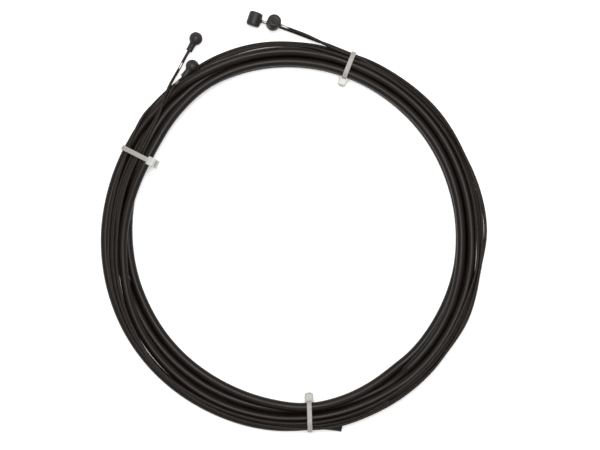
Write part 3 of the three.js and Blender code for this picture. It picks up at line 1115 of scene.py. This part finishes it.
@dataclass
class Nipple:
    """A cast nipple on a wire's end, drawn with its wire coming in along -X.

    The collar is given as reaches out from the barrel's wall and radii, and the groove as reaches up from
    the stem's mouth and depths.
    """

    name: str
    kind: End
    end: np.ndarray
    along: np.ndarray
    roll: float = 0.0
    barrel_radius: float = 3.7
    barrel_half: float = 3.85
    barrel_edge: float = 1.1
    barrel_from_end: float = 1.8
    dish_depth: float = 0.12
    dish_floor: float = 0.7
    dish_rim: float = 0.4
    collar: Knots = ((-0.6, 1.5), (-0.05, 1.45), (0.27, 1.15), (0.45, 0.85))
    ball_radius: float = 3.6
    ball_from_end: float = 6.1
    ball_steps: int = 22
    crown_radius: float = 1.3
    crown_height: float = 0.05
    crown_rim: float = 0.25
    neck_flare: float = 0.35
    shoulder: float = 1.2
    shoulder_curve: tuple[float, float] = (0.45, 0.1)
    stem_radius: float = 1.75
    stem_reach: float = 7.8
    stem_groove: Knots = ((1.9, 0.0), (1.7, 0.09), (1.5, 0.0))
    stem_bevel: float = 0.2
    bore_radius: float = 0.95
    bore_depth: float = 1.6
    hub: float = 0.3
    sharp_from: float = 50.0
    sides: int = 48

    def _barrel(self) -> Shape:
        """A round bar with rolled edges, across the wire, and a low collar where the wire goes in.

        Returns:
            Its points and faces.
        """
        flat = self.barrel_radius - self.barrel_edge
        rim = arc((self.barrel_half - self.barrel_edge, flat), self.barrel_edge, 0, 90)
        sunk = self.barrel_half - self.dish_depth
        dish = [(sunk, self.hub), (sunk, flat - self.dish_floor), (self.barrel_half, flat - self.dish_rim)]
        half = np.concatenate([dish, rim])
        bar, bar_faces = lathe(np.concatenate([half, half[::-1] * (-1.0, 1.0)]), self.sides)
        across = bar[:, [1, 0, 2]] * (1.0, 1.0, -1.0)
        collar = np.array([(-self.barrel_radius - reach, radius) for reach, radius in self.collar])
        points, faces = joined((across, bar_faces), lathe(collar, self.sides))
        return points + (self.barrel_from_end, 0.0, 0.0), faces

    def _pear(self) -> Shape:
        """A ball with a flat crown, drawn down through a shoulder to a stem with the wire's bore.

        The crown and the neck start where the arcsine of their radius over the ball's says.

        Returns:
            Its points and faces.
        """
        crown = math.degrees(math.asin(self.crown_radius / self.ball_radius))
        neck = 180 - math.degrees(math.asin((self.stem_radius + self.neck_flare) / self.ball_radius))
        ball = arc((0.0, 0.0), self.ball_radius, crown, neck, self.ball_steps)
        top = ball[0, 0] + self.crown_height
        shoulder = self.ball_radius * math.cos(math.radians(neck)) - self.shoulder
        stem, mouth = self.stem_radius, -self.stem_reach
        profile = np.concatenate([
            [(top, self.hub), (top, self.crown_radius - self.crown_rim)],
            ball,
            [(shoulder + self.shoulder_curve[0], stem + self.shoulder_curve[1]), (shoulder, stem)],
            [(mouth + reach, stem - depth) for reach, depth in self.stem_groove],
            [(mouth + self.stem_bevel, stem), (mouth, stem - self.stem_bevel), (mouth, self.bore_radius)],
            [(mouth + self.bore_depth, self.bore_radius)],
        ])
        points, faces = lathe(profile, self.sides)
        return points + (self.ball_from_end, 0.0, 0.0), faces

    def build(self, finishes: Finishes) -> bpy.types.Object:
        """Makes and dresses the nipple on its wire's end, rolled about the wire.

        Args:
            finishes: The materials.

        Returns:
            The piece.
        """
        points, faces = self._barrel() if self.kind is End.BARREL else self._pear()
        side = unit(np.cross(UP, self.along))
        up = np.cross(self.along, side)
        roll = math.radians(self.roll)
        rolled_side = math.cos(roll) * side + math.sin(roll) * up
        rolled_up = math.cos(roll) * up - math.sin(roll) * side
        placed = self.end + points @ np.stack([self.along, rolled_side, rolled_up])
        obj = mesh_object(f"{self.name}_cast", placed, faces)
        obj.data.set_sharp_from_angle(angle=math.radians(self.sharp_from))
        finished(obj, finishes.nipple)
        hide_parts(self.name)
        return obj


@dataclass
class Wire:
    """A wire of outer strands laid round a core, from its pear to its barrel, with its two nipples."""

    name: str
    path: Path
    barrel_roll: float
    bare_by_pear: tuple[float, float]
    bare_by_barrel: tuple[float, float] = (2.2, 6.4)
    radius: float = 0.8
    lay: float = 16.0
    outer_strands: int = 12
    strand_depth: float = 0.075
    step: float = 1.2
    bare_fade: float = 0.5
    end_reach: float = 2.0

    def _mesh(self) -> bpy.types.Object:
        """Carries a lobed section along the way, turning once in each lay.

        A point's radius is the wire's at the top of a lobe and less by the strand's depth between two.

        Returns:
            The wire, marked where it is bare.
        """
        sides = 2 * self.outer_strands
        distances = np.linspace(0, self.path.length, round(self.path.length / self.step) + 1)
        twist = 2 * math.pi * distances / self.lay
        angles = ring_angles(sides)[None] + twist[:, None]
        lobes = np.where(np.arange(sides) % 2 == 0, self.radius, self.radius - self.strand_depth)
        radii = np.broadcast_to(lobes, angles.shape)
        points = carried(self.path, distances, radii, angles)
        obj = mesh_object(self.name, points, grid_faces(len(distances), sides, False, True))
        from_barrel = self.path.length - distances
        bare = self._inside(distances, self.bare_by_pear) + self._inside(from_barrel, self.bare_by_barrel)
        mark_points(obj, "bare", np.repeat(bare, sides))
        return obj

    def _inside(self, distances: np.ndarray, stretch: tuple[float, float]) -> np.ndarray:
        """1 inside a stretch and 0 outside it, with a straight fade at both ends.

        Args:
            distances: How far along.
            stretch: Where it begins and ends.

        Returns:
            One value each.
        """
        rise = np.clip((distances - stretch[0]) / self.bare_fade, 0, 1)
        fall = np.clip((stretch[1] - distances) / self.bare_fade, 0, 1)
        return rise * fall

    def build(self, finishes: Finishes) -> list[bpy.types.Object]:
        """Args:
            finishes: The materials.

        Returns:
            The wire, its pear and its barrel.
        """
        wire = finished(self._mesh(), finishes.wire)
        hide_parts(f"{self.name}_coil", f"{self.name}_pear_end", f"{self.name}_barrel_end")
        ends = self.path.along(np.array([0.0, self.path.length]), reach=self.end_reach)
        pear = Nipple(f"{self.name}_pear_nipple", End.PEAR, self.path.points[0], -ends[0]).build(finishes)
        barrel = Nipple(
            f"{self.name}_barrel_nipple", End.BARREL, self.path.points[-1], ends[1], self.barrel_roll
        ).build(finishes)
        rings = self.path.resampled(self.step).points * MM
        2 * self.radius * MM
        return [wire, pear, barrel]


def rounded_rectangle(width: float, height: float, corner: float, steps: int = 3) -> np.ndarray:
    """Points anticlockwise round a rectangle with round corners, about its centre.

    Args:
        width: Its whole width.
        height: Its whole height.
        corner: Its corners' radius.
        steps: How many steps each corner has.

    Returns:
        Rows of x and y.
    """
    across, up = width / 2 - corner, height / 2 - corner
    corners = (((across, up), 0), ((-across, up), 90), ((-across, -up), 180), ((across, -up), 270))
    return np.concatenate([arc(centre, corner, start, start + 90, steps) for centre, start in corners])


@dataclass
class Tie:
    """A cable tie drawn tight round the strands at one angle of the coil.

    It is drawn in the coil's section: across is the distance from the coil's centre and up is the height.
    The strap's inner face follows whichever strand stands out furthest in each direction, so it is the hull
    of their sections. The head lies on the coil's inner side, and the strap's tail runs through its slot.
    The tie then stands at its angle and shift, turned by its skew. The strap grows from the head at its
    root, given as two points back from the head's face and down.
    """

    name: str
    centre: np.ndarray
    angle: float
    circles: np.ndarray
    shift: float = 0.0
    skew: float = 0.0
    head_turn: float = 0.0
    # share of painted shade that greys the head's nylon
    head_shade: float = 0.0
    thickness: float = 1.1
    width: float = 2.6
    corner: float = 0.3
    gap: float = 0.08
    tooth_pitch: float = 1.2
    tooth_depth: float = 0.25
    head_width: float = 4.6
    head_depth: float = 4.8
    head_length: float = 5.2
    head_corner: float = 0.8
    head_steps: int = 5
    head_bevel: float = 0.25
    head_side_corner: float = 0.5
    head_wall: float = 0.8
    slot_clearance: float = 0.15
    slot_corner: float = 0.2
    slot_below: float = 2.4
    turned_slot_below: float = 0.6
    pawl_room: float = 1.2
    root: Knots = ((0.5, 0.6), (0.1, 0.0))
    root_room: float = 0.2
    tail_bend: float = 0.5
    tail_room: float = 0.3
    tail_stub: float = 0.4
    hull_step: float = 3.0
    station_step: float = 0.3
    line_spread: float = 1.5
    sharp_from: float = 40.0

    def __post_init__(self) -> None:
        """Turns the section so that the head lies on its inner side, by the innermost strand."""
        self.middle = self.circles[:, :2].mean(axis=0)
        self.drawn = self.circles.copy()
        self.drawn[:, :2] = self._turned(self.circles[:, :2], self.head_turn)
        reach = self.drawn[:, 0] - self.drawn[:, 2]
        innermost = self.drawn[int(np.argmin(reach))]
        self.face = float(reach.min()) - self.gap
        under_slot = self.thickness / 2 + self.tail_bend + self.tail_room
        if self.head_turn:
            self.slot_height = float(innermost[1]) - self.turned_slot_below
        else:
            self.slot_height = max(float(innermost[1]) - self.slot_below, LOW + under_slot)
        self.slot_foot = self.slot_height - under_slot
        self.slot_top = self.slot_height + self.thickness / 2

    def _turned(self, points: np.ndarray, degrees: float) -> np.ndarray:
        """Turns points of the section anticlockwise about its middle.

        Across is cosine times across less sine times up, and up is sine times across plus cosine
        times up.

        Args:
            points: Each one's way across and up.
            degrees: How far.

        Returns:
            The same points, turned.
        """
        turn = math.radians(degrees)
        ahead, up = np.moveaxis(points - self.middle, -1, 0)
        turned = (math.cos(turn) * ahead - math.sin(turn) * up, math.sin(turn) * ahead + math.cos(turn) * up)
        return self.middle + np.stack(turned, axis=-1)

    def _hull(self) -> np.ndarray:
        """Points of the strands' hull, clockwise from the inner side over the top and back underneath.

        In each direction, the point is that of the circle whose centre along it plus radius is the most.

        Returns:
            Rows of across and up.
        """
        degrees = np.radians(np.arange(180, -181, -self.hull_step))
        out = np.stack([np.cos(degrees), np.sin(degrees)], axis=-1)
        reach = out @ self.drawn[:, :2].T + self.drawn[:, 2]
        furthest = np.argmax(reach, axis=1)
        return self.drawn[furthest, :2] + out * (self.drawn[furthest, 2:] + self.gap)

    def _line(self) -> Path:
        """The strap's inner face: from the head's top, round the hull, and out through the slot.

        Returns:
            The line, in across and up.
        """
        hull = self._hull()
        root = self.slot_top + self.pawl_room
        half = len(hull) // 2
        over = hull[:half][hull[:half, 1] > root + self.root_room]
        under = hull[half:][hull[half:, 1] < self.slot_foot]
        bend = self.tail_bend + self.thickness
        centre = (self.face - bend, self.slot_foot + self.tail_room)
        tail_end = self.face - self.head_depth - self.tail_stub
        line = np.concatenate([
            [(self.face - back, root - down) for back, down in self.root], over, under,
            arc(centre, bend, 0, 90), [(tail_end, self.slot_top)],
        ])
        return Path(np.column_stack([line, np.zeros(len(line))]))

    def _placed(self, across: np.ndarray, up: np.ndarray, aside: np.ndarray) -> np.ndarray:
        """Stands points of the section at the tie's angle, with the strap's own small skew.

        Args:
            across: Their distances from the coil's centre.
            up: Their heights.
            aside: How far they lie beside the section.

        Returns:
            Points about the coil's centre.
        """
        turn = math.radians(self.angle + self.shift)
        lean = math.radians(self.angle + self.shift + self.skew)
        across, up = np.moveaxis(self._turned(np.stack([across, up], axis=-1), -self.head_turn), -1, 0)
        foot = self.middle[0] * np.array([math.cos(turn), math.sin(turn), 0.0])
        out = np.array([math.cos(lean), math.sin(lean), 0.0])
        beside = np.array([-math.sin(lean), math.cos(lean), 0.0])
        level = (across - self.middle[0])[..., None] * out + aside[..., None] * beside
        return foot + level + up[..., None] * UP

    def _strap(self) -> Shape:
        """Carries a rounded band along the strap's line, with a ratchet tooth cut in at every pitch.

        A point lies outwards from the line by its place in the band, and on the inner face by the tooth too,
        which drops straight to its root and ramps up to the next tip.

        Returns:
            Its points and faces.
        """
        line = self._line()
        count = round(line.length / self.station_step)
        distances = np.linspace(0, line.length, count)
        centre = np.stack([smoothed(axis, self.line_spread) for axis in line.at(distances).T], axis=-1)
        ahead = unit(np.gradient(centre[:, :2], axis=0))
        out = np.stack([-ahead[:, 1], ahead[:, 0]], axis=-1)
        band = rounded_rectangle(self.width, self.thickness, self.corner)
        tooth = self.tooth_depth * (distances / self.tooth_pitch % 1.0)
        inner = band[:, 1] < 0
        lift = self.thickness / 2 + band[None, :, 1] + np.where(inner[None], tooth[:, None], 0.0)
        section = centre[:, None, :2] + lift[..., None] * out[:, None]
        aside = np.broadcast_to(-band[None, :, 0], lift.shape)
        points = self._placed(section[..., 0], section[..., 1], aside).reshape(-1, 3)
        return points, grid_faces(count, len(band), False, True)

    def _head(self) -> Shape:
        """Rings of a rounded block from its back to its front, and back through its slot.

        Returns:
            Its points and faces.
        """
        inset = arc((0.0, 0.0), self.head_corner, 0, 90, self.head_steps)
        rings = [(self.head_bevel, 0.0), (0.0, self.head_bevel)]
        rings += [(self.head_corner - cut[0], self.head_depth - self.head_corner + cut[1]) for cut in inset]
        top = self.slot_top + self.slot_clearance + self.pawl_room + self.head_wall
        layers = []
        for cut, depth in rings:
            width, length = self.head_width - 2 * cut, self.head_length - 2 * cut
            outline = rounded_rectangle(width, length, self.head_side_corner)
            layers.append((outline + (0.0, top - self.head_length / 2), depth))
        room = 2 * self.slot_clearance
        slot = rounded_rectangle(self.width + room, self.thickness + room, self.slot_corner)
        layers += [(slot + (0.0, self.slot_height), depth) for depth in (self.head_depth, 0.0)]
        outlines = np.stack([outline for outline, _ in layers])
        depths = np.array([depth for _, depth in layers])
        across = np.broadcast_to((self.face - depths)[:, None], outlines.shape[:2])
        points = self._placed(across, outlines[..., 1], outlines[..., 0]).reshape(-1, 3)
        faces = grid_faces(len(layers), outlines.shape[1], True, False)
        return points, [face[::-1] for face in faces]

    def build(self, finishes: Finishes) -> bpy.types.Object:
        """Makes and dresses the tie.

        Args:
            finishes: The materials.

        Returns:
            The piece.
        """
        strap, head = self._strap(), self._head()
        points, faces = joined(strap, head)
        obj = mesh_object(f"{self.name}_nylon", points + self.centre, faces)
        obj.data.set_sharp_from_angle(angle=math.radians(self.sharp_from))
        # painted greying: the whole strap as though dark cords showed through it, and the head by its share
        # of painted shade
        mark_points(obj, "see_through_and_shade", np.repeat([1.0, self.head_shade], [len(strap[0]), len(head[0])]))
        finished(obj, finishes.nylon)
        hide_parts(self.name)
        return obj


@dataclass
class Studio:
    """The floor, the light and the camera over the coil."""

    centre: np.ndarray
    camera_x: float = 2.97
    camera_y: float = 5.676
    camera_height: float = 905.8
    lens: float = 100.0
    sensor: float = 36.0
    floor_half: float = 6000.0
    lamp_height: float = 1000.0
    lamp_forward: float = 160.0
    lamp_size: float = 520.0
    lamp_power: float = 11.0
    sky_strength: float = 0.45
    floor_shade: float = 0.93
    floor_glow: float = 0.25
    glow_near: float = 180.0
    glow_far: float = 700.0

    @staticmethod
    def _seen(nodes: Nodes) -> Value:
        """1 for a ray from the camera, or one that a mirror or a clear piece sends on, and else 0.

        Args:
            nodes: The tree that reads it.

        Returns:
            The value.
        """
        kinds = ("Camera", "Glossy", "Transmission")
        rays = [nodes.add("ShaderNodeLightPath", {}, {}, f"Is {kind} Ray") for kind in kinds]
        return (rays[0] + rays[1] + rays[2]).clamped()

    def _floor(self) -> None:
        """A pale floor under the part, which keeps the part's shadow."""
        half = self.floor_half
        corners = np.array([(-half, -half, 0.0), (half, -half, 0.0), (half, half, 0.0), (-half, half, 0.0)])
        floor = mesh_object("floor", corners, [(0, 1, 2, 3)], smooth=False)
        nodes = Nodes.of_material("floor_white")
        place = nodes.add("ShaderNodeTexCoord", {}, {}, "Object")
        away = nodes.add("ShaderNodeVectorMath", {"operation": "LENGTH"}, {0: place}, "Value")
        far = nodes.ramp(away, self.glow_near * MM, self.glow_far * MM)
        level = self._seen(nodes) * (far * (1 - self.floor_glow) + self.floor_glow)
        glow = nodes.mix(level, BLACK, WHITE)
        shade = (self.floor_shade, self.floor_shade, self.floor_shade, 1.0)
        floor.data.materials.append(nodes.surface({
            "Base Color": shade, "Roughness": 1.0, "Specular IOR Level": 0.0,
            "Emission Color": glow, "Emission Strength": 1.0,
        }))

    def _sky(self) -> None:
        """An even white sky, softer as a light than as it is seen."""
        bpy.context.scene.world = bpy.data.worlds.new("white_room")
        nodes = Nodes(bpy.context.scene.world, "ShaderNodeOutputWorld")
        level = self._seen(nodes) * (1 - self.sky_strength) + self.sky_strength
        nodes.end(nodes.add("ShaderNodeBackground", {}, {"Color": WHITE, "Strength": level}))

    def _lamp(self) -> None:
        """One broad soft lamp overhead, a little towards the top of the picture."""
        data = bpy.data.lights.new("soft_lamp", "AREA")
        data.shape = "SQUARE"
        data.size = self.lamp_size * MM
        data.energy = self.lamp_power
        lamp = bpy.data.objects.new("soft_lamp", data)
        bpy.context.scene.collection.objects.link(lamp)
        lamp.location = (0.0, self.lamp_forward * MM, self.lamp_height * MM)
        lamp.rotation_euler = (-math.atan2(self.lamp_forward, self.lamp_height), 0.0, 0.0)

    def _camera(self) -> None:
        """The camera looks straight down."""
        data = bpy.data.cameras.new("camera")
        data.lens = self.lens
        data.sensor_width = self.sensor
        camera = bpy.data.objects.new("camera", data)
        bpy.context.scene.collection.objects.link(camera)
        camera.location = (self.centre + (self.camera_x, self.camera_y, self.camera_height)) * MM
        bpy.context.scene.camera = camera

    def build(self) -> None:
        """Sets the whole studio up."""
        bpy.context.scene.view_settings.view_transform = "Standard"
        self._camera()
        self._floor()
        self._sky()
        self._lamp()


def main() -> None:
    """Builds the studio, settles the coil, and makes and dresses each piece."""
    logging.basicConfig(level=logging.INFO, format="%(message)s")
    plan = CoilPlan()
    centre = plan.centre()
    Studio(centre).build()
    finishes = Finishes()
    strands = [plan.housing(), plan.front_wire(), plan.rear_wire()]
    bundle = Bundle(strands, (plan.upper_tie, plan.side_tie, plan.lower_tie))
    log.info("settled with %.3f mm of overlap left", bundle.settle())
    paths = [Path(polar(strand.angles, strand.distance, strand.height) + centre) for strand in strands]
    Housing(Path(paths[0].points[::-1])).build(finishes)
    Wire("front_wire", paths[1], barrel_roll=0.0, bare_by_pear=(8.4, 12.5)).build(finishes)
    Wire("rear_wire", paths[2], barrel_roll=106.0, bare_by_pear=(5.6, 7.6)).build(finishes)
    ties = (
        ("upper_tie", plan.upper_tie, {"shift": -0.3, "skew": -3.8}),
        ("side_tie", plan.side_tie, {"shift": -0.5, "skew": 0.5, "head_turn": 45.0}),
        # the lower tie's head is greyed as painted shade
        ("lower_tie", plan.lower_tie, {"skew": -3.0, "head_shade": 0.65}),
    )
    for name, angle, lie in ties:
        Tie(name, centre, angle, bundle.section(angle), **lie).build(finishes)


if __name__ == "__main__":
    main()
